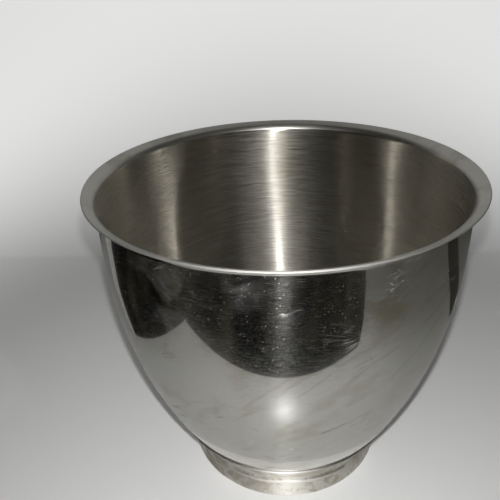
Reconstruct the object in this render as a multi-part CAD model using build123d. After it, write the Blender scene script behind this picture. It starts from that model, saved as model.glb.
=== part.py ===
from build123d import *
from math import acos, asin, cos, degrees, radians, sin
import os

# Stainless bowl of a tilt-head stand mixer: a deep-drawn shell with a flared lip,
# and a separate pressed foot ring welded under it. Millimetres, +Z up.
# The origin is the centre of the foot's bottom edge, on the surface the bowl stands on.

# Shell sheet and lip
wall = 0.9
bowl_height = 193.0
lip_reach = 6.5
lip_rise_deg = 25.0
lip_bend_radius = 3.1
lip_bend_steps = 4
lip_edge_break = 0.2

# Shell body: a straight wall below the rim, then one long belly arc
body_radius = 104.5
straight_wall_height = 33.0

# Shell floor with the raised centre that keeps the beater from missing the middle
floor_z = 8.0
corner_radius = 25.0
floor_inset = 20.13
floor_flat_width = 15.67
dome_height = 6.0

# Foot ring: a skirt that bends out into a flange lying on the belly
ring_wall = 1.0
skirt_radius = 63.8
flange_top_z = 31.4
ring_bend_setback = 0.9
flange_edge_break = 0.4

# Bayonet ramps pressed out of the skirt
ramp_count = 4
ramp_span_deg = 68.0
ramp_stop_azimuth_deg = -53.0
ramp_low_z = 4.0
ramp_top_z = 13.6
ramp_stop_height = 1.0
ramp_lead_height = 0.4
ramp_shoulder = 0.7
ramp_hollow_drop = 0.4

# The belly arc leaves the straight wall upright and meets the floor's corner arc smoothly
rim_radius = body_radius + lip_reach
straight_wall_from = bowl_height - straight_wall_height
floor_radius = skirt_radius - floor_inset
dome_radius = floor_radius - floor_flat_width
corner_centre = (floor_radius, floor_z + corner_radius)
belly_run = body_radius - floor_radius
belly_drop = straight_wall_from - corner_centre[1]
belly_radius = (belly_run**2 + belly_drop**2 - corner_radius**2) / (2 * (belly_run - corner_radius))
belly_centre = (body_radius - belly_radius, straight_wall_from)
belly_end_deg = -degrees(asin(belly_drop / (belly_radius - corner_radius)))


def on_circle(centre, radius, angle_deg):
    """Point of a circle in the r, z section, its angle counted from +r towards +z."""
    return (centre[0] + radius * cos(radians(angle_deg)), centre[1] + radius * sin(radians(angle_deg)))


def arc(centre, radius, start_deg, end_deg):
    """Arc of the section from one angle to another."""
    middle_deg = (start_deg + end_deg) / 2
    return ThreePointArc(
        on_circle(centre, radius, start_deg),
        on_circle(centre, radius, middle_deg),
        on_circle(centre, radius, end_deg),
    )


def drawn_bend(centre, radius, start_deg, end_deg):
    """Smooth bend that leaves both ends of an arc along its tangents."""
    half_turn = radians(end_deg - start_deg) / 2
    apex = on_circle(centre, radius / cos(half_turn), degrees(radians(start_deg) + half_turn))
    return Bezier(on_circle(centre, radius, start_deg), apex, on_circle(centre, radius, end_deg))


def stepped_bend(centre, radius, start_deg, end_deg, steps):
    """Tight bend rolled in a few flats, every edge of a flat on the arc."""
    step_deg = (end_deg - start_deg) / steps
    corners = [on_circle(centre, radius, start_deg + step_deg * index) for index in range(steps + 1)]
    return [Line(corners[index], corners[index + 1]) for index in range(steps)]


def corner_at(face, point):
    """Corner of a section face nearest to a point."""
    return face.vertices().sort_by_distance((point[0], point[1], 0))[0]


def lip_layout():
    """Bend centre and straight length of the flared lip, whose sheet ends square to its slope."""
    rise = radians(lip_rise_deg)
    bend_r = body_radius + lip_bend_radius
    length = (rim_radius + lip_bend_radius * sin(rise) - bend_r) / cos(rise)
    bend_z = bowl_height - length * sin(rise) - (lip_bend_radius + wall) * cos(rise)
    return (bend_r, bend_z), length


def shell_path(inset):
    """Section of one face of the sheet, from the lip to the axis, inset from the outside."""
    bend_centre, lip_length = lip_layout()
    rise = radians(lip_rise_deg)
    lip_foot = on_circle(bend_centre, lip_bend_radius + inset, 90 + lip_rise_deg)
    lip_end = (lip_foot[0] + lip_length * cos(rise), lip_foot[1] + lip_length * sin(rise))
    half_run, half_rise = dome_radius / 2, dome_height / 2
    swell = (half_run**2 + half_rise**2) / (2 * half_rise)
    swell_deg = degrees(asin(half_run / swell))
    trough_centre = (dome_radius, floor_z + swell)
    crest_centre = (0, floor_z + dome_height - swell)
    return [
        Line(lip_end, lip_foot),
        *stepped_bend(bend_centre, lip_bend_radius + inset, 90 + lip_rise_deg, 180, lip_bend_steps),
        Line((body_radius - inset, bend_centre[1]), (body_radius - inset, straight_wall_from)),
        arc(belly_centre, belly_radius - inset, 0, belly_end_deg),
        drawn_bend(corner_centre, corner_radius - inset, belly_end_deg, -90),
        Line((corner_centre[0], floor_z + inset), (dome_radius, floor_z + inset)),
        arc(trough_centre, swell - inset, -90, -90 - swell_deg),
        arc(crest_centre, swell + inset, 90 - swell_deg, 90),
    ]


def bowl_shell():
    """Drawn shell: both faces of the sheet, the lip's edge and the axis between them."""
    outside, inside = shell_path(0), shell_path(wall)
    lip_edge = Line(inside[0] @ 0, outside[0] @ 0)
    axis_line = Line(outside[-1] @ 1, inside[-1] @ 1)
    section = make_face(Wire([lip_edge, *outside, axis_line, *inside]))
    for end in (outside[0] @ 0, inside[0] @ 0):
        section = chamfer(corner_at(section, (end.X, end.Y)), lip_edge_break)
    return revolve(Plane.XZ * section, Axis.Z)


def flange_angle(radius, section_r):
    """Angle about the belly's centre where a circle of this radius reaches section_r."""
    return -degrees(acos((section_r - belly_centre[0]) / radius))


def foot_sheet():
    """Skirt and flange: the flange's inner face is the belly arc that it is welded to."""
    top_deg = -degrees(asin((straight_wall_from - flange_top_z) / belly_radius))
    outer_arc_radius = belly_radius + ring_wall
    skirt_inside = skirt_radius - ring_wall
    outer_bend_deg = flange_angle(outer_arc_radius, skirt_radius)
    inner_bend_deg = flange_angle(belly_radius, skirt_inside)
    outer_bend = on_circle(belly_centre, outer_arc_radius, outer_bend_deg)
    inner_bend = on_circle(belly_centre, belly_radius, inner_bend_deg)
    outer_top = on_circle(belly_centre, outer_arc_radius, top_deg)
    inner_top = on_circle(belly_centre, belly_radius, top_deg)
    section = make_face(
        Wire(
            [
                Line((skirt_inside, 0), (skirt_radius, 0)),
                Line((skirt_radius, 0), outer_bend),
                arc(belly_centre, outer_arc_radius, outer_bend_deg, top_deg),
                Line(outer_top, inner_top),
                arc(belly_centre, belly_radius, top_deg, inner_bend_deg),
                Line(inner_bend, (skirt_inside, 0)),
            ]
        )
    )
    section = chamfer(corner_at(section, outer_bend), ring_bend_setback)
    section = chamfer(corner_at(section, inner_bend), ring_bend_setback)
    section = chamfer(corner_at(section, outer_top), flange_edge_break)
    return revolve(Plane.XZ * section, Axis.Z)


def ramp_wedge(inward, drop):
    """Ramp form on an off-centre arc, so it grows from the lead end to the stop end."""
    growth = (ramp_stop_height - ramp_lead_height) / (1 - cos(radians(ramp_span_deg)))
    crest_r = skirt_radius + ramp_stop_height - growth - inward
    toe_r = crest_r - ramp_stop_height
    base_r = toe_r - ring_wall - ramp_stop_height
    outline = Polyline(
        (base_r, ramp_low_z),
        (toe_r, ramp_low_z),
        (crest_r, ramp_top_z - ramp_shoulder - drop),
        (crest_r - ramp_shoulder, ramp_top_z - drop),
        (base_r, ramp_top_z - drop),
        close=True,
    )
    section = Plane.XZ * make_face(outline)
    wedge = revolve(section, Axis.Z, revolution_arc=ramp_span_deg)
    return Pos(growth, 0, 0) * Rot(0, 0, -ramp_span_deg) * wedge


def foot_ring():
    """Foot sheet with its bayonet ramps, each hollow behind like any pressed ramp."""
    pitch_deg = 360 / ramp_count
    gap_middle_deg = ramp_stop_azimuth_deg + (pitch_deg - ramp_span_deg) / 2
    ring = Rot(0, 0, gap_middle_deg) * foot_sheet()
    core = Cylinder(skirt_radius - ring_wall / 2, ramp_top_z * 2)
    for index in range(ramp_count):
        turn = Rot(0, 0, ramp_stop_azimuth_deg + pitch_deg * index)
        ring += turn * (ramp_wedge(0, 0) - core)
        ring -= turn * ramp_wedge(ring_wall, ramp_hollow_drop)
    return ring


os.makedirs("parts", exist_ok=True)
pieces = {"bowl_shell": bowl_shell(), "foot_ring": foot_ring()}
for name, piece in pieces.items():
    export_step(piece, f"parts/{name}.step")
    box = piece.bounding_box()
    print(f"{name}: volume {piece.volume:.0f} mm3, {box.size.X:.1f} x {box.size.Y:.1f} x {box.size.Z:.1f} mm")
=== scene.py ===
from math import asin, atan2, cos, degrees, pi, radians, sin, sqrt, tan

import bmesh
import bpy
from mathutils import Matrix, Vector


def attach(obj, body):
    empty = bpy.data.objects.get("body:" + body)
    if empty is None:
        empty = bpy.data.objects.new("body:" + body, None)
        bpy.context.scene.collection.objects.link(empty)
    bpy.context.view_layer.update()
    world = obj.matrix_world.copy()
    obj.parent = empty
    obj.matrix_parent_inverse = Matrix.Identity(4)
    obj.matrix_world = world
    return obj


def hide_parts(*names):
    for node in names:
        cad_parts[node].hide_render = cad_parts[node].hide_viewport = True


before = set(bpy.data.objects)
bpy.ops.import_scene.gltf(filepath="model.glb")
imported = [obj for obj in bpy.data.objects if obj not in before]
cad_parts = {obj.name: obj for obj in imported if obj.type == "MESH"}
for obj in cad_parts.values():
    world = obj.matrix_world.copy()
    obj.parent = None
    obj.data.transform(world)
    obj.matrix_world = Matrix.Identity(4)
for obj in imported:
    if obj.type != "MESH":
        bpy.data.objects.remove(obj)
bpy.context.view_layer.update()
scene = bpy.context.scene


# Mesh helpers: a section is a chain of vertices in the XZ plane, spun round Z

skin = {"mergeGap": 2e-6, "sliverGap": 1e-7, "axisGap": 1e-6, "mapScale": 2}


def vertsOf(geom):
    return [item for item in geom if isinstance(item, bmesh.types.BMVert)]


def pullVert(bm, vert, place):
    tip = bmesh.ops.extrude_vert_indiv(bm, verts=[vert])["verts"][0]
    tip.co = place
    return tip


def lineTo(bm, vert, r, z):
    return pullVert(bm, vert, (r, 0, z))


def arcTo(bm, vert, centre, startDeg, endDeg, steps):
    # section angles count from +X towards +Z, which is the negative turn about +Y
    turned = bmesh.ops.spin(bm, geom=[vert], cent=(centre[0], 0, centre[1]), axis=(0, 1, 0),
                            angle=radians(startDeg - endDeg), steps=steps, use_duplicate=False)
    return vertsOf(turned["geom_last"])[0]


def revolveEighth(bm, steps, slotIndex):
    before = set(bm.faces)
    wires = [edge for edge in bm.edges if edge.is_wire]
    corners = [vert for vert in bm.verts if vert.is_wire]
    bmesh.ops.spin(bm, geom=wires + corners, cent=(0, 0, 0), axis=(0, 0, 1), angle=pi / 4,
                   steps=steps // 8, use_merge=False, use_duplicate=False)
    for face in bm.faces:
        if face not in before:
            face.material_index = slotIndex


def mergeDoubles(bm):
    bmesh.ops.remove_doubles(bm, verts=bm.verts, dist=skin["mergeGap"])


def smoothFaces(bm):
    for face in bm.faces:
        face.smooth = True


def closeSkin(bm):
    # the spun eighth is copied round three times over, which fills the turn
    for turn in (pi / 4, pi / 2, pi):
        copied = bmesh.ops.duplicate(bm, geom=bm.verts[:] + bm.edges[:] + bm.faces[:])["geom"]
        bmesh.ops.rotate(bm, cent=(0, 0, 0), matrix=Matrix.Rotation(turn, 3, "Z"), verts=vertsOf(copied))
    mergeDoubles(bm)
    bmesh.ops.dissolve_degenerate(bm, edges=bm.edges, dist=skin["sliverGap"])
    bmesh.ops.recalc_face_normals(bm, faces=bm.faces)
    smoothFaces(bm)


def brushingMap(bm, leanSlot=-1):
    # U runs up the section and V round the bowl, so the tangent crosses the brushing
    layer = bm.loops.layers.uv.new("brushing")
    for face in bm.faces:
        middle = face.calc_center_median()
        facing = atan2(middle.y, middle.x)
        for loop in face.loops:
            co = loop.vert.co
            r = Vector((co.x, co.y)).length
            side = 0 if r < skin["axisGap"] else (atan2(co.y, co.x) - facing + pi) % (2 * pi) - pi
            lean = brushingLean(co.z) if face.material_index == leanSlot else 0
            loop[layer].uv = ((r + co.z) * skin["mapScale"], (facing + side) / (2 * pi) + lean)


def objectFrom(bm, name, finishes):
    mesh = bpy.data.meshes.new(name)
    bm.to_mesh(mesh)
    bm.free()
    for finish in finishes:
        mesh.materials.append(finish)
    thing = bpy.data.objects.new(name, mesh)
    scene.collection.objects.link(thing)
    return thing


def pieceFrom(bm, name, nodeName, finishes):
    piece = objectFrom(bm, name, finishes)
    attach(piece, "root")
    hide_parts(nodeName)
    return piece


# Node helpers

def addNode(tree, kind, **settings):
    node = tree.nodes.new(kind)
    for key, value in settings.items():
        setattr(node, key, value)
    return node


def feed(tree, socket, item):
    # another node's output is linked, a number or vector is set, and a colour gets its alpha
    if isinstance(item, bpy.types.NodeSocket):
        tree.links.new(item, socket)
    elif socket.type == "RGBA":
        socket.default_value = (*item, 1)
    else:
        socket.default_value = item


def feedInOrder(tree, node, items):
    for socket, item in zip(node.inputs, items):
        feed(tree, socket, item)


def feedNamed(tree, node, items):
    for label, item in items.items():
        feed(tree, node.inputs[label], item)


def maths(tree, operation, *items, clamp=False):
    node = addNode(tree, "ShaderNodeMath", operation=operation, use_clamp=clamp)
    feedInOrder(tree, node, items)
    return node.outputs[0]


def times(tree, first, second):
    return maths(tree, "MULTIPLY", first, second)


def addShare(tree, base, extra, share, clamp=False):
    # the base and a share of the extra
    return maths(tree, "ADD", base, times(tree, extra, share), clamp=clamp)


def raiseTo(tree, base, mask, level):
    # at least the level where the mask is 1
    return maths(tree, "MAXIMUM", base, times(tree, mask, level))


def opposite(tree, value):
    return maths(tree, "SUBTRACT", 1, value, clamp=True)


def spread(tree, value, fromLow, fromHigh, toLow=0.0, toHigh=1.0):
    # a smooth step from one value to the other
    node = addNode(tree, "ShaderNodeMapRange", interpolation_type="SMOOTHSTEP")
    feedInOrder(tree, node, (value, fromLow, fromHigh, toLow, toHigh))
    return node.outputs[0]


def blendColours(tree, share, first, second):
    node = addNode(tree, "ShaderNodeMix", data_type="RGBA")
    for index, item in zip((0, 6, 7), (share, first, second)):    # the sockets that colours use
        feed(tree, node.inputs[index], item)
    return node.outputs[2]


def vectorMaths(tree, operation, *items):
    node = addNode(tree, "ShaderNodeVectorMath", operation=operation)
    feedInOrder(tree, node, items)
    return node.outputs


def splitVector(tree, vector):
    node = tree.nodes.new("ShaderNodeSeparateXYZ")
    feed(tree, node.inputs[0], vector)
    return node.outputs


def joinVector(tree, *items):
    node = tree.nodes.new("ShaderNodeCombineXYZ")
    feedInOrder(tree, node, items)
    return node.outputs[0]


def objectSpot(tree):
    return tree.nodes.new("ShaderNodeTexCoord").outputs["Object"]


def noiseAt(tree, spot, settings):
    node = tree.nodes.new("ShaderNodeTexNoise")
    feedNamed(tree, node, {"Vector": spot, **settings})
    return node.outputs["Fac"]


def heightMask(tree, low, high):
    # 0 below low and 1 above high, in metres from the foot's bottom edge
    return spread(tree, splitVector(tree, objectSpot(tree))[2], low, high)


def radiusMask(tree, low, high):
    # 0 closer to the axis than low and 1 past high
    flat = vectorMaths(tree, "MULTIPLY", objectSpot(tree), (1, 1, 0))[0]
    return spread(tree, vectorMaths(tree, "LENGTH", flat)["Value"], low, high)


def nearMask(tree, place, inner, outer):
    # 1 within inner metres of a place on the piece, 0 past outer
    gap = vectorMaths(tree, "DISTANCE", objectSpot(tree), place)["Value"]
    return spread(tree, gap, inner, outer, 1.0, 0.0)


# Marks on the metal: node groups that the finishes share

marks = {
    "middle": 0.5,                                                 # of any noise
    "skew": (0.37, 0.61), "lineRoughness": 0.6,                    # turned lines
    "smudge": {"Detail": 5, "Roughness": 0.62, "Distortion": 0.6},
    "scratchAxis": (0.3, 0.9, 0.2), "scratchDetail": 1,
    "scratchPatches": {"Scale": 45, "Detail": 2}, "patchFade": 0.12,
    "speckPatches": {"Scale": 60, "Detail": 3},
}


def newGroup(name, inputs, output):
    tree = bpy.data.node_groups.new(name, "ShaderNodeTree")
    for label, default in inputs.items():
        socket = tree.interface.new_socket(label, in_out="INPUT", socket_type="NodeSocketFloat")
        socket.default_value = default
    tree.interface.new_socket(output, in_out="OUTPUT", socket_type="NodeSocketFloat")
    return tree, tree.nodes.new("NodeGroupInput").outputs, tree.nodes.new("NodeGroupOutput").inputs[0]


def placeGroup(tree, group, settings):
    node = tree.nodes.new("ShaderNodeGroup")
    node.node_tree = group
    feedNamed(tree, node, settings)
    return node.outputs[0]


def fromMiddle(tree, noise):
    return maths(tree, "SUBTRACT", noise, marks["middle"])


def turnedLinesGroup():
    # fine lines that run round the bowl, from a lathe's brushing or polishing wheel
    tree, taken, given = newGroup("turnedLines", {"Density": 2000.0, "Sweep": 6.0, "Detail": 2.0}, "Lines")
    spot = splitVector(tree, objectSpot(tree))
    squares = [maths(tree, "POWER", spot[axis], 2) for axis in (0, 1)]
    radial = maths(tree, "SQRT", maths(tree, "ADD", *squares))
    along = times(tree, maths(tree, "ADD", radial, spot[2]), taken["Density"])
    # both other axes take a share of the fine one, so the noise's own cells leave no upright stripes
    across = [addShare(tree, times(tree, spot[axis], taken["Sweep"]), along, share)
              for axis, share in enumerate(marks["skew"])]
    lines = noiseAt(tree, joinVector(tree, *across, along),
                    {"Scale": 1, "Roughness": marks["lineRoughness"], "Detail": taken["Detail"]})
    feed(tree, given, lines)
    return tree


def smudgesGroup():
    # soft patches left by hands and cloths, uneven in size
    tree, taken, given = newGroup("smudges", {"Scale": 20.0, "Low": 0.45, "High": 0.7, "Shift": 0.0}, "Mask")
    moved = vectorMaths(tree, "ADD", objectSpot(tree), taken["Shift"])[0]
    patches = noiseAt(tree, moved, {"Scale": taken["Scale"], **marks["smudge"]})
    feed(tree, given, spread(tree, patches, taken["Low"], taken["High"]))
    return tree


def hairlinesGroup():
    # thin wandering scratches: the narrow band where a stretched noise crosses its middle value
    inputs = {"Scale": 30.0, "Width": 0.01, "Turn": 0.5, "Stretch": 6.0, "Keep": 0.5}
    tree, taken, given = newGroup("hairlines", inputs, "Mask")
    rotate = addNode(tree, "ShaderNodeVectorRotate", rotation_type="AXIS_ANGLE")
    feedNamed(tree, rotate, {"Vector": objectSpot(tree), "Axis": marks["scratchAxis"],
                             "Angle": taken["Turn"]})
    turned = rotate.outputs[0]
    x, y, z = splitVector(tree, turned)
    stretched = joinVector(tree, x, y, times(tree, z, taken["Stretch"]))
    noise = noiseAt(tree, stretched, {"Scale": taken["Scale"], "Detail": marks["scratchDetail"]})
    distance = maths(tree, "ABSOLUTE", fromMiddle(tree, noise))
    line = opposite(tree, maths(tree, "DIVIDE", distance, taken["Width"]))
    patches = noiseAt(tree, turned, marks["scratchPatches"])
    kept = spread(tree, patches, taken["Keep"], maths(tree, "ADD", taken["Keep"], marks["patchFade"]))
    feed(tree, given, times(tree, line, kept))
    return tree


def specksGroup():
    # tiny pits and dust: the middles of small cells, kept in loose patches
    tree, taken, given = newGroup("specks", {"Scale": 400.0, "Size": 0.2, "Share": 0.5, "Keep": 0.5}, "Mask")
    spot = objectSpot(tree)
    cells = addNode(tree, "ShaderNodeTexVoronoi", feature="F1")
    feedNamed(tree, cells, {"Scale": taken["Scale"], "Vector": spot})
    chance = tree.nodes.new("ShaderNodeSeparateColor")
    feed(tree, chance.inputs[0], cells.outputs["Color"])
    dot = times(tree, maths(tree, "LESS_THAN", cells.outputs["Distance"], taken["Size"]),
                maths(tree, "LESS_THAN", chance.outputs[0], taken["Share"]))
    patches = noiseAt(tree, spot, marks["speckPatches"])
    feed(tree, given, times(tree, dot, maths(tree, "GREATER_THAN", patches, taken["Keep"])))
    return tree


turnedLines = turnedLinesGroup()
smudges = smudgesGroup()
hairlines = hairlinesGroup()
specks = specksGroup()
print("node groups ready")


def newMaterial(name, metal=0.0, anisotropy=0.0):
    material = bpy.data.materials.new(name)
    material.use_nodes = True
    tree = material.node_tree
    shader = tree.nodes["Principled BSDF"]
    feedNamed(tree, shader, {"Metallic": metal, "Anisotropic": anisotropy})
    if anisotropy:
        tangent = addNode(tree, "ShaderNodeTangent", direction_type="UV_MAP", uv_map="brushing")
        feed(tree, shader.inputs["Tangent"], tangent.outputs[0])
    return material, tree, shader


def bumpInto(tree, shader, height, finish):
    bump = tree.nodes.new("ShaderNodeBump")
    feedNamed(tree, bump, {"Strength": finish["bump"], "Distance": finish["bumpHeight"], "Height": height})
    feed(tree, shader.inputs["Normal"], bump.outputs[0])


# Bowl shell

bowl = {
    "rimRadius": 0.11087, "height": 0.19288, "wall": 0.0009, "edgeRound": 0.0002,
    "lipRiseDeg": 25, "lipBend": 0.0046, "lipFlat": 0.0046,
    "bodyRadius": 0.1045, "straightFrom": 0.160, "bellyRadius": 0.268,
    "floorZ": 0.008, "cornerRadius": 0.025, "domeRadius": 0.028, "domeHeight": 0.006,
    "steps": 320, "edgeSteps": 4, "lipRows": 3, "bendSteps": 10, "wallRows": 4,
    "bellySteps": 56, "cornerSteps": 16, "domeSteps": 10,
    "leanFrom": 0.08, "leanTo": 0.18, "leanLowDeg": 3.4, "leanHighDeg": 7.4,
}


def brushingLean(z):
    # the inside's brushing lines climb a little, more so towards the rim
    low, high = tan(radians(bowl["leanLowDeg"])), tan(radians(bowl["leanHighDeg"]))
    over = max(0, z - bowl["leanFrom"])
    climbed = low * z + (high - low) * over ** 2 / (2 * (bowl["leanTo"] - bowl["leanFrom"]))
    return -climbed / (2 * pi * bowl["bodyRadius"])


def lipLayout():
    # the flared flat ends square to its slope, its outer corner on the rim and its inner one at the top
    rise = radians(bowl["lipRiseDeg"])
    bend, wall, edge = bowl["lipBend"], bowl["wall"], bowl["edgeRound"]
    bendR = bowl["bodyRadius"] + bend
    length = (bowl["rimRadius"] - edge + (bend + edge) * sin(rise) - bendR) / cos(rise)
    bendZ = bowl["height"] - edge - length * sin(rise) - (bend + wall - edge) * cos(rise)
    return bendR, bendZ, length


def sheetFace(bm, inset):
    # one face of the sheet from the lip's edge down to the axis
    riseDeg, straightFrom = bowl["lipRiseDeg"], bowl["straightFrom"]
    rise, footAngle = radians(riseDeg), radians(90 + riseDeg)
    bend = bowl["lipBend"] + inset
    bendR, bendZ, length = lipLayout()
    wallR = bowl["bodyRadius"] - inset
    bellyR = bowl["bodyRadius"] - bowl["bellyRadius"]
    cornerZ = bowl["floorZ"] + bowl["cornerRadius"]
    drop, reach = straightFrom - cornerZ, bowl["bellyRadius"] - bowl["cornerRadius"]
    cornerR = bellyR + sqrt(reach ** 2 - drop ** 2)
    tangentDeg = -degrees(asin(drop / reach))
    halfRun, halfRise = bowl["domeRadius"] / 2, bowl["domeHeight"] / 2
    swell = (halfRun ** 2 + halfRise ** 2) / (2 * halfRise)
    swellDeg = degrees(asin(halfRun / swell))
    trough = (bowl["domeRadius"], bowl["floorZ"] + swell)
    crest = (0, bowl["floorZ"] + bowl["domeHeight"] - swell)

    footR, footZ = bendR + bend * cos(footAngle), bendZ + bend * sin(footAngle)
    vert = bm.verts.new((footR + length * cos(rise), 0, footZ + length * sin(rise)))
    for row in range(1, bowl["lipRows"] + 1):
        left = length * (1 - row / bowl["lipRows"])
        vert = lineTo(bm, vert, footR + left * cos(rise), footZ + left * sin(rise))
    vert = arcTo(bm, vert, (bendR, bendZ), 90 + riseDeg, 180, bowl["bendSteps"])
    for row in range(1, bowl["wallRows"] + 1):
        vert = lineTo(bm, vert, wallR, bendZ + (straightFrom - bendZ) * row / bowl["wallRows"])
    vert = arcTo(bm, vert, (bellyR, straightFrom), 0, tangentDeg, bowl["bellySteps"])
    vert = arcTo(bm, vert, (cornerR, cornerZ), tangentDeg, -90, bowl["cornerSteps"])
    vert = lineTo(bm, vert, bowl["domeRadius"], bowl["floorZ"] + inset)
    vert = arcTo(bm, vert, trough, -90, -90 - swellDeg, bowl["domeSteps"])
    vert = arcTo(bm, vert, crest, 90 - swellDeg, 90, bowl["domeSteps"])
    vert.co.x = 0


def lipEdge(bm):
    # cut edge of the sheet: square to the flare, with both corners a little rounded
    riseDeg, bend, edge = bowl["lipRiseDeg"], bowl["lipBend"], bowl["edgeRound"]
    bendR, bendZ, length = lipLayout()
    along = Vector((cos(radians(riseDeg)), 0, sin(radians(riseDeg))))
    across = Vector((-along.z, 0, along.x))
    low = Vector((bendR, 0, bendZ)) + across * (bend + edge) + along * length
    high = Vector((bendR, 0, bendZ)) + across * (bend + bowl["wall"] - edge) + along * length
    vert = bm.verts.new(low - across * edge)
    vert = arcTo(bm, vert, (low.x, low.z), riseDeg - 90, riseDeg, bowl["edgeSteps"])
    tip = high + along * edge
    vert = lineTo(bm, vert, tip.x, tip.z)
    arcTo(bm, vert, (high.x, high.z), riseDeg, riseDeg + 90, bowl["edgeSteps"])


polish = {
    "steel": (0.61, 0.605, 0.575), "stained": (0.46, 0.435, 0.36), "dirtAndShade": (0.16, 0.14, 0.12),
    "mirror": 0.03, "haze": 0.22, "fine": 0.23, "dashed": 0.34, "scratched": 0.46, "anisotropy": 1.0,
    "smeared": 0.075, "dusty": 0.30, "bump": 0.2, "bumpHeight": 0.00002,
    # lines of the polishing wheel, and its few coarse dashes
    "wheel": {"Density": 52000.0, "Sweep": 170.0, "Detail": 1.0}, "wheelBand": (0.48, 0.63),
    "dashes": {"Density": 12000.0, "Sweep": 120.0, "Detail": 1.0}, "dashBand": (0.70, 0.76),
    # smudges of handling
    "hands": {"Scale": 34.0, "Low": 0.52, "High": 0.74, "Shift": 0.4},
    "broad": {"Scale": 11.0, "Low": 0.46, "High": 0.68, "Shift": 3.1},
    "film": {"Scale": 70.0, "Low": 0.5, "High": 0.78, "Shift": 6.3},
    "mist": {"Scale": 48.0, "Low": 0.40, "High": 0.66, "Shift": 4.6},
    "ghostCloud": {"Scale": 55.0, "Low": 0.44, "High": 0.56, "Shift": 9.2},
    # scratches and pits
    "fineLines": {"Scale": 22.0, "Width": 0.018, "Turn": 0.5, "Stretch": 16.0, "Keep": 0.57},
    "crossLines": {"Scale": 30.0, "Width": 0.020, "Turn": 2.62, "Stretch": 13.0, "Keep": 0.59},
    "streakLines": {"Scale": 16.0, "Width": 0.05, "Turn": 0.7, "Stretch": 4.0, "Keep": 0.42},
    "pits": {"Scale": 640.0, "Size": 0.13, "Share": 0.45, "Keep": 0.50},
    # single marks: the place, the reach at full strength and the whole reach
    "wiped": ((-0.050, -0.092, 0.172), 0.004, 0.034),
    "rubbedAndCrestSheen": ((-0.018, -0.103, 0.179), 0.001, 0.014),
    "ghost": ((0.044, -0.095, 0.172), 0.010, 0.024),
    # painted shade of the crevice where the foot's flange meets the bowl fades out between these heights
    "seamBand": (0.0308, 0.0313),
    # how much each mark counts
    "broadHaze": 0.45, "wipedHaze": 1.1, "cloudySmear": 0.5,
    "broadStain": 0.45, "filmStain": 0.35, "streakStain": 0.5, "ghostStain": 0.7,
    "scratchDirt": 0.15, "seamShade": 0.9,
}


def polishedFinish():
    material, tree, shader = newMaterial("polishedSteel", 1.0, polish["anisotropy"])
    wheel = spread(tree, placeGroup(tree, turnedLines, polish["wheel"]), *polish["wheelBand"])
    dashes = spread(tree, placeGroup(tree, turnedLines, polish["dashes"]), *polish["dashBand"])
    hands = placeGroup(tree, smudges, polish["hands"])
    broad = placeGroup(tree, smudges, polish["broad"])
    film = placeGroup(tree, smudges, polish["film"])
    mist = placeGroup(tree, smudges, polish["mist"])
    streaks = placeGroup(tree, hairlines, polish["streakLines"])
    scratch = placeGroup(tree, specks, polish["pits"])
    for name in ("fineLines", "crossLines"):
        scratch = maths(tree, "MAXIMUM", placeGroup(tree, hairlines, polish[name]), scratch)
    wiped = maths(tree, "MAXIMUM", nearMask(tree, *polish["wiped"]), nearMask(tree, *polish["rubbedAndCrestSheen"]))
    ghost = times(tree, nearMask(tree, *polish["ghost"]), placeGroup(tree, smudges, polish["ghostCloud"]))
    cloudy = times(tree, maths(tree, "ADD", hands, film),
                   addShare(tree, times(tree, broad, polish["broadHaze"]), wiped, polish["wipedHaze"]))

    rough = addShare(tree, polish["mirror"], cloudy, polish["haze"])
    for mask, level in ((wheel, "fine"), (dashes, "dashed"), (scratch, "scratched")):
        rough = raiseTo(tree, rough, mask, polish[level])
    # dried smears, dust and scratches scatter a little light of their own
    scatter = addShare(tree, times(tree, wiped, mist), cloudy, polish["cloudySmear"])
    scatter = addShare(tree, times(tree, scatter, polish["smeared"]), scratch, polish["dusty"], clamp=True)

    stain = addShare(tree, times(tree, broad, polish["broadStain"]), film, polish["filmStain"])
    stain = addShare(tree, stain, streaks, polish["streakStain"])
    stain = addShare(tree, stain, ghost, polish["ghostStain"], clamp=True)
    colour = blendColours(tree, stain, polish["steel"], polish["stained"])
    colour = blendColours(tree, times(tree, scratch, polish["scratchDirt"]), colour, polish["dirtAndShade"])
    # painted shade: the shell's colour goes dark at the crevice by the foot's flange
    seam = opposite(tree, heightMask(tree, *polish["seamBand"]))
    colour = blendColours(tree, times(tree, seam, polish["seamShade"]), colour, polish["dirtAndShade"])
    feedNamed(tree, shader, {"Base Color": colour, "Metallic": opposite(tree, scatter), "Roughness": rough})
    bumpInto(tree, shader, scratch, polish)
    return material


lip = {
    "steel": (0.60, 0.59, 0.55), "dull": (0.49, 0.48, 0.43), "cut": (0.56, 0.55, 0.52),
    "roughness": 0.36, "turned": 0.2, "handled": 0.08, "anisotropy": 0.5,
    "cutRoughness": 0.76, "cutBand": (0.1100, 0.1104), "bump": 0.1, "bumpHeight": 0.00004,
    "wheel": {"Density": 3200.0, "Sweep": 12.0, "Detail": 2.0},
    "hands": {"Scale": 40.0, "Low": 0.45, "High": 0.7, "Shift": 1.7},
    "nicks": {"Scale": 70.0, "Width": 0.008, "Turn": 1.2, "Stretch": 3.0, "Keep": 0.55},
}


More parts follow.
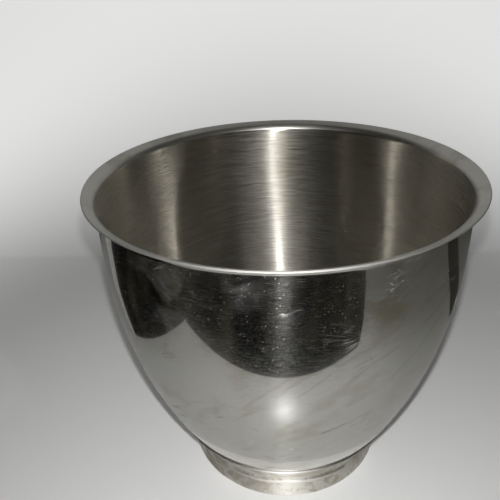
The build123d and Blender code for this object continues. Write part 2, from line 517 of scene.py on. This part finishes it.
def lipFinish():
    material, tree, shader = newMaterial("satinLip", 1.0, lip["anisotropy"])
    wheel = placeGroup(tree, turnedLines, lip["wheel"])
    hands = placeGroup(tree, smudges, lip["hands"])
    nicks = placeGroup(tree, hairlines, lip["nicks"])
    cut = radiusMask(tree, *lip["cutBand"])
    rough = addShare(tree, lip["roughness"], fromMiddle(tree, wheel), lip["turned"])
    rough = addShare(tree, rough, hands, lip["handled"])
    rough = raiseTo(tree, rough, cut, lip["cutRoughness"])
    colour = blendColours(tree, hands, lip["steel"], lip["dull"])
    colour = blendColours(tree, cut, colour, lip["cut"])
    feedNamed(tree, shader, {"Base Color": colour, "Roughness": rough})
    bumpInto(tree, shader, maths(tree, "ADD", wheel, nicks), lip)
    return material


brushed = {
    "steel": (0.64, 0.615, 0.56), "dull": (0.55, 0.525, 0.465), "speckled": (0.68, 0.64, 0.55),
    "roughness": 0.16, "coarse": 0.58, "uneven": 0.10, "stained": 0.05, "anisotropy": 1.0,
    "dusty": 0.22, "dustBand": (0.10, 0.15), "bump": 0.05, "bumpHeight": 0.00003,
    "wheel": {"Density": 24000.0, "Sweep": 60.0, "Detail": 1.0}, "wheelBand": (0.505, 0.61),
    "passes": {"Density": 2600.0, "Sweep": 20.0, "Detail": 3.0},
    "stain": {"Scale": 14.0, "Low": 0.48, "High": 0.72, "Shift": 5.2},
    "dust": {"Scale": 620.0, "Size": 0.26, "Share": 0.6, "Keep": 0.53},
}


def brushedFinish():
    material, tree, shader = newMaterial("brushedInside", 1.0, brushed["anisotropy"])
    wheel = placeGroup(tree, turnedLines, brushed["wheel"])
    passes = placeGroup(tree, turnedLines, brushed["passes"])
    stain = placeGroup(tree, smudges, brushed["stain"])
    dust = placeGroup(tree, specks, brushed["dust"])
    # dust lies in the lower part only
    settled = times(tree, dust, opposite(tree, heightMask(tree, *brushed["dustBand"])))
    lines = spread(tree, wheel, *brushed["wheelBand"])
    rough = addShare(tree, brushed["roughness"], lines, brushed["coarse"])
    rough = addShare(tree, rough, fromMiddle(tree, passes), brushed["uneven"])
    rough = addShare(tree, rough, stain, brushed["stained"])
    colour = blendColours(tree, stain, brushed["steel"], brushed["dull"])
    colour = blendColours(tree, settled, colour, brushed["speckled"])
    metal = opposite(tree, times(tree, settled, brushed["dusty"]))
    feedNamed(tree, shader, {"Base Color": colour, "Metallic": metal, "Roughness": rough})
    bumpInto(tree, shader, wheel, brushed)
    return material


def makeBowl():
    outside, rim, inside = range(3)    # the order of the finishes below
    bm = bmesh.new()
    sheetFace(bm, 0)
    revolveEighth(bm, bowl["steps"], outside)
    lipEdge(bm)
    revolveEighth(bm, bowl["steps"], rim)
    sheetFace(bm, bowl["wall"])
    revolveEighth(bm, bowl["steps"], inside)
    # the satin band of the rim reaches a little way down the inside
    for face in bm.faces:
        if face.material_index == inside and face.calc_center_median().z > bowl["height"] - bowl["lipFlat"]:
            face.material_index = rim
    closeSkin(bm)
    brushingMap(bm, leanSlot=inside)
    piece = pieceFrom(bm, "bowlShell", "bowl_shell",
                      [polishedFinish(), lipFinish(), brushedFinish()])
    print("bowl shell:", len(piece.data.polygons), "faces")


makeBowl()


# Foot ring

foot = {
    "skirtRadius": 0.0638, "wall": 0.001, "flangeTop": 0.0314, "bend": 0.003, "edge": 0.0003, "lift": 0.00008,
    "rampLow": 0.004, "rampTop": 0.0136, "shoulder": 0.0007, "fade": 0.0002,
    "stopHeight": 0.001, "leadHeight": 0.0004, "rampSpanDeg": 68, "rampEndDeg": 0.9,
    "rampCount": 4, "stopAzimuthDeg": -53,
    "steps": 480, "edgeSteps": 4, "rampRows": 8, "shoulderRows": 6, "bendSteps": 6, "flangeSteps": 14,
    "flangeEdgeSteps": 8,
}


def rampLevels():
    # heights of the skirt's rows: even up to the ramp's crest, then close together over its shoulder
    low, crest, top = foot["rampLow"], foot["rampTop"] - foot["shoulder"], foot["rampTop"] + foot["fade"]
    rows, fine = foot["rampRows"], foot["shoulderRows"]
    slope = [low + (crest - low) * row / rows for row in range(rows)]
    shoulder = [crest + (top - crest) * row / fine for row in range(fine + 1)]
    return slope + [crest - foot["fade"]] + shoulder


def footSection(bm):
    # closed section of the sheet: up the outside, over the flange's edge and down the inside
    bellyR, bellyZ = bowl["bodyRadius"] - bowl["bellyRadius"], bowl["straightFrom"]
    inner = bowl["bellyRadius"] + foot["lift"]
    outer = bowl["bellyRadius"] + foot["wall"]
    topDeg = -degrees(asin((bellyZ - foot["flangeTop"]) / outer))

    def bendAt(reach, radius, wallR):
        # the tangent arc between the upright skirt at wallR and the flange's circle
        centreR = wallR + radius
        centreZ = bellyZ - sqrt((reach + radius) ** 2 - (centreR - bellyR) ** 2)
        return (centreR, centreZ), degrees(atan2(centreZ - bellyZ, centreR - bellyR))

    edge, levels = foot["edge"], rampLevels()
    outR, inR = foot["skirtRadius"], foot["skirtRadius"] - foot["wall"]
    vert = bm.verts.new((outR - edge, 0, 0))
    vert = arcTo(bm, vert, (outR - edge, edge), -90, 0, foot["edgeSteps"])
    for level in levels:
        vert = lineTo(bm, vert, outR, level)
    centre, leanDeg = bendAt(outer, foot["bend"], outR)
    vert = lineTo(bm, vert, outR, centre[1])
    vert = arcTo(bm, vert, centre, 180, 180 + leanDeg, foot["bendSteps"])
    vert = arcTo(bm, vert, (bellyR, bellyZ), leanDeg, topDeg, foot["flangeSteps"])
    # rounded top edge of the flange
    middle = (outer + inner) / 2
    tip = (bellyR + middle * cos(radians(topDeg)), bellyZ + middle * sin(radians(topDeg)))
    vert = arcTo(bm, vert, tip, topDeg, topDeg + 180, foot["flangeEdgeSteps"])
    centre, leanDeg = bendAt(inner, foot["bend"] + foot["wall"], inR)
    vert = arcTo(bm, vert, (bellyR, bellyZ), topDeg, leanDeg, foot["flangeSteps"])
    vert = arcTo(bm, vert, centre, 180 + leanDeg, 180, foot["bendSteps"])
    for level in reversed(levels):
        vert = lineTo(bm, vert, inR, level)
    vert = lineTo(bm, vert, inR, edge)
    vert = arcTo(bm, vert, (inR + edge, edge), 180, 270, foot["edgeSteps"])
    lineTo(bm, vert, outR - edge, 0)


def smoothStep(value):
    value = min(1, max(0, value))
    return value * value * (3 - 2 * value)


def rampSwell(azimuthDeg, z):
    # how far the pressed ramps push the skirt out at a point
    spanDeg, endDeg = foot["rampSpanDeg"], foot["rampEndDeg"]
    behind = (foot["stopAzimuthDeg"] - azimuthDeg) % (360 / foot["rampCount"])
    if behind > spanDeg:
        return 0
    rise = (z - foot["rampLow"]) / (foot["rampTop"] - foot["shoulder"] - foot["rampLow"])
    fall = (foot["rampTop"] + foot["fade"] - z) / foot["shoulder"]
    swell = min(max(rise, 0), 1) * smoothStep(fall)
    ends = smoothStep(behind / endDeg) * smoothStep((spanDeg - behind) / endDeg)
    height = foot["stopHeight"] + (foot["leadHeight"] - foot["stopHeight"]) * behind / spanDeg
    return height * swell * ends


satin = {
    # the crest colour below is a painted highlight
    "steel": (0.87, 0.85, 0.795), "stained": (0.50, 0.435, 0.34), "rubbedAndCrestSheen": (0.88, 0.865, 0.82),
    "roughness": 0.54, "turned": 0.2, "stainRoughness": 0.1, "crestSheenRoughness": 0.8, "anisotropy": 0.86,
    "stainShare": 0.6, "dripShare": 0.6, "bump": 0.25, "bumpHeight": 0.00006,
    "crestBelow": 0.0013, "crestSoft": 0.0005, "proudFrom": 0.00003, "edgeBelow": (0.0007, 0.0001),
    "wheel": {"Density": 2200.0, "Sweep": 10.0, "Detail": 3.0},
    "stain": {"Scale": 48.0, "Low": 0.44, "High": 0.66, "Shift": 7.7},
    "drips": {"Scale": 170.0, "Low": 0.48, "High": 0.64, "Shift": 2.4},
    "nicks": {"Scale": 60.0, "Width": 0.012, "Turn": 0.2, "Stretch": 6.0, "Keep": 0.5},
}


def footFinish():
    material, tree, shader = newMaterial("satinFoot", 1.0, satin["anisotropy"])
    wheel = placeGroup(tree, turnedLines, satin["wheel"])
    stain = placeGroup(tree, smudges, satin["stain"])
    drips = placeGroup(tree, smudges, satin["drips"])
    nicks = placeGroup(tree, hairlines, satin["nicks"])
    # painted highlight along the ramps' crests: a lighter colour and a rougher finish stand in for the light
    # their upward-facing shoulders catch
    crest = foot["rampTop"] - foot["shoulder"] - satin["crestBelow"]
    top, soft = foot["rampTop"] + foot["fade"], satin["crestSoft"]
    over = heightMask(tree, crest, crest + soft)
    under = opposite(tree, heightMask(tree, top - soft, top))
    proud = radiusMask(tree, foot["skirtRadius"] + satin["proudFrom"], foot["skirtRadius"] + foot["fade"])
    rubbedAndCrestSheen = times(tree, times(tree, over, under), proud)
    rough = addShare(tree, satin["roughness"], fromMiddle(tree, wheel), satin["turned"])
    rough = addShare(tree, rough, stain, satin["stainRoughness"])
    rough = raiseTo(tree, rough, rubbedAndCrestSheen, satin["crestSheenRoughness"])
    # the flange's top edge takes the same painted highlight colour as the crests
    edge = heightMask(tree, *[foot["flangeTop"] - below for below in satin["edgeBelow"]])
    marked = raiseTo(tree, times(tree, stain, satin["stainShare"]), drips, satin["dripShare"])
    colour = blendColours(tree, marked, satin["steel"], satin["stained"])
    colour = blendColours(tree, maths(tree, "MAXIMUM", rubbedAndCrestSheen, edge), colour, satin["rubbedAndCrestSheen"])
    feedNamed(tree, shader, {"Base Color": colour, "Roughness": rough})
    bumpInto(tree, shader, maths(tree, "ADD", wheel, nicks), satin)
    return material


def makeFoot():
    bm = bmesh.new()
    footSection(bm)
    mergeDoubles(bm)
    revolveEighth(bm, foot["steps"], 0)
    closeSkin(bm)
    for vert in bm.verts:
        azimuth = atan2(vert.co.y, vert.co.x)
        push = rampSwell(degrees(azimuth), vert.co.z)
        if push:
            vert.co += Vector((cos(azimuth), sin(azimuth), 0)) * push
    brushingMap(bm)
    piece = pieceFrom(bm, "footRing", "foot_ring", [footFinish()])
    print("foot ring:", len(piece.data.polygons), "faces")


makeFoot()


# Stage: a pale sweep of floor and wall

sweep = {
    "floor": (0.88, 0.88, 0.875), "wall": (0.84, 0.84, 0.835), "toneBand": (0.0, 0.3), "gloss": 0.36,
    "floorGlow": 0.08, "wallGlow": 0.66, "glowBand": (0.26, 0.70),
    "reach": 4.0, "bendFrom": 0.25, "bendRadius": 0.37, "bendSteps": 24, "top": 1.8,
}


def stagePiece(name, bm, material):
    thing = objectFrom(bm, name, [material])
    return thing


def sweepFinish():
    material, tree, shader = newMaterial("paleSweep")
    raised = heightMask(tree, *sweep["toneBand"])
    colour = blendColours(tree, raised, sweep["floor"], sweep["wall"])
    # the floor glows only far from the bowl: near it the shadow keeps its depth
    away = vectorMaths(tree, "LENGTH", objectSpot(tree))["Value"]
    lit = maths(tree, "MAXIMUM", raised, spread(tree, away, *sweep["glowBand"]))
    glow = addShare(tree, sweep["floorGlow"], lit, sweep["wallGlow"])
    feedNamed(tree, shader, {"Base Color": colour, "Roughness": sweep["gloss"],
                             "Emission Color": colour, "Emission Strength": glow})
    return material


def makeSweep():
    reach, bendFrom = sweep["reach"], sweep["bendFrom"]
    bm = bmesh.new()
    start = bm.verts.new((-reach, -reach, 0))
    turnAt = pullVert(bm, start, (-reach, bendFrom, 0))
    turned = bmesh.ops.spin(bm, geom=[turnAt], cent=(0, bendFrom, sweep["bendRadius"]), axis=(1, 0, 0),
                            angle=pi / 2, steps=sweep["bendSteps"], use_duplicate=False)
    last = vertsOf(turned["geom_last"])[0]
    pullVert(bm, last, (-reach, last.co.y, sweep["top"]))
    across = bmesh.ops.extrude_edge_only(bm, edges=bm.edges[:])["geom"]
    bmesh.ops.translate(bm, verts=vertsOf(across), vec=(2 * reach, 0, 0))
    smoothFaces(bm)
    thing = stagePiece("sweep", bm, sweepFinish())
    # its glow neither shows in the metal nor fills the bowl's shadow
    thing.visible_glossy = thing.visible_diffuse = False


makeSweep()


# Cards that only the metal sees: a flat one under the bowl and two upright ones past it

cards = {
    "gloss": 0.29, "wallTone": (0.62, 0.62, 0.61), "wallGlow": 0.46,
    "tone": (0.70, 0.70, 0.685), "farTone": (0.48, 0.48, 0.44), "farBand": (0.10, 0.30),
    # a painted pool of light round the foot
    "causticLightTone": (0.95, 0.95, 0.94), "causticLightBand": (0.075, 0.076),
    "flatZ": 0.0001, "back": 0.621, "left": -1.1, "right": 0.55, "low": -1.0, "top": 1.6,
    "outline": [(-0.24, -0.198), (0.154, -0.202), (0.55, -0.546), (0.55, 0.02), (0.2, 0.085), (0.2, 0.14),
                (0.55, 0.12), (0.55, 0.62), (-0.742, 0.62), (-0.205, 0.03)],
}


def wallFinish():
    material, tree, shader = newMaterial("wallCard")
    feedNamed(tree, shader, {"Base Color": cards["wallTone"], "Roughness": cards["gloss"],
                             "Emission Color": cards["wallTone"], "Emission Strength": cards["wallGlow"]})
    return material


def cardFinish():
    # painted light: a pale pool close round the foot for the light the metal throws onto the table, and
    # painted shade to the far right where the lamp by the lens doesn't reach
    material, tree, shader = newMaterial("tableCard")
    far = spread(tree, splitVector(tree, objectSpot(tree))[0], *cards["farBand"])
    near = nearMask(tree, (0, 0, 0), *cards["causticLightBand"])
    colour = blendColours(tree, far, cards["tone"], cards["farTone"])
    colour = blendColours(tree, near, colour, cards["causticLightTone"])
    feedNamed(tree, shader, {"Base Color": colour, "Roughness": cards["gloss"]})
    return material


def upright(start, end):
    low, top = cards["low"], cards["top"]
    return [(*start, low), (*end, low), (*end, top), (*start, top)]


def makeCard(name, corners, material):
    # it neither shades nor lights anything
    bm = bmesh.new()
    bm.faces.new([bm.verts.new(corner) for corner in corners])
    thing = stagePiece(name, bm, material)
    thing.visible_camera = thing.visible_diffuse = thing.visible_shadow = False


def makeCards():
    left, right, back = cards["left"], cards["right"], cards["back"]
    front = min(y for x, y in cards["outline"])
    plain = cardFinish()
    makeCard("tableCard", [(x, y, cards["flatZ"]) for x, y in cards["outline"]], plain)
    makeCard("wallCard", upright((left, back), (right, back)), wallFinish())
    makeCard("sideCard", upright((right, back), (right, front)), plain)


makeCards()


# Light: one small lamp by the lens, a wide soft one, and a dark world for the metal to mirror

lamps = {
    "flash": {"place": (0.0015, -0.2816, 0.3195), "target": (0, 0, 0.12), "size": 0.008, "power": 1.0},
    "fill": {"place": (-0.3, -0.85, 1.1), "target": (0, 0.3, 0.15), "size": 1.2, "power": 2.0},
}

room = {
    "shown": (0.80, 0.80, 0.795), "shownStrength": 0.8,
    "dark": (0.004, 0.004, 0.0035), "dim": (0.045, 0.04, 0.03),
    "shapes": {"Scale": 3.2, "Detail": 3}, "shapeBand": (0.46, 0.72),
}


def lampAt(name, place, target, size, power):
    lamp = bpy.data.lights.new(name, "AREA")
    lamp.shape = "DISK"
    lamp.size = size
    lamp.energy = power
    thing = bpy.data.objects.new(name, lamp)
    thing.location = place
    thing.rotation_euler = (Vector(target) - Vector(place)).to_track_quat("-Z", "Y").to_euler()
    scene.collection.objects.link(thing)
    return thing


def makeRoom():
    world = bpy.data.worlds.new("room")
    scene.world = world
    world.use_nodes = True
    tree = world.node_tree
    tree.nodes.clear()
    path = tree.nodes.new("ShaderNodeLightPath")
    shown = tree.nodes.new("ShaderNodeBackground")
    feedNamed(tree, shown, {"Color": room["shown"], "Strength": room["shownStrength"]})
    # what the metal sees is dark, with a few dim shapes in it
    spot = tree.nodes.new("ShaderNodeTexCoord").outputs["Generated"]
    shapes = spread(tree, noiseAt(tree, spot, room["shapes"]), *room["shapeBand"])
    mirrored = tree.nodes.new("ShaderNodeBackground")
    feed(tree, mirrored.inputs["Color"], blendColours(tree, shapes, room["dark"], room["dim"]))
    mix = tree.nodes.new("ShaderNodeMixShader")
    feedInOrder(tree, mix, (path.outputs["Is Camera Ray"], mirrored.outputs[0], shown.outputs[0]))
    out = tree.nodes.new("ShaderNodeOutputWorld")
    feed(tree, out.inputs["Surface"], mix.outputs[0])


lampAt("flash", **lamps["flash"])
fill = lampAt("fill", **lamps["fill"])
fill.visible_glossy = False
makeRoom()
print("stage and light ready")


# Camera

view = {
    "place": (0, -0.29165, 0.30097), "yawDeg": -3.86, "pitchDeg": 28.43, "rollDeg": -2.49,
    "focalPixels": 541.47, "framePixels": 500, "sensorWidth": 36, "clipFrom": 0.01, "clipTo": 20,
}


def makeCamera():
    data = bpy.data.cameras.new("camera")
    data.sensor_width = view["sensorWidth"]
    data.lens = view["focalPixels"] / view["framePixels"] * data.sensor_width
    data.clip_start, data.clip_end = view["clipFrom"], view["clipTo"]
    camera = bpy.data.objects.new("camera", data)
    scene.collection.objects.link(camera)
    camera.matrix_world = (Matrix.Translation(view["place"])
                           @ Matrix.Rotation(radians(-view["yawDeg"]), 4, "Z")
                           @ Matrix.Rotation(radians(90 - view["pitchDeg"]), 4, "X")
                           @ Matrix.Rotation(radians(view["rollDeg"]), 4, "Z"))
    scene.camera = camera


makeCamera()
scene.view_settings.view_transform = "Standard"
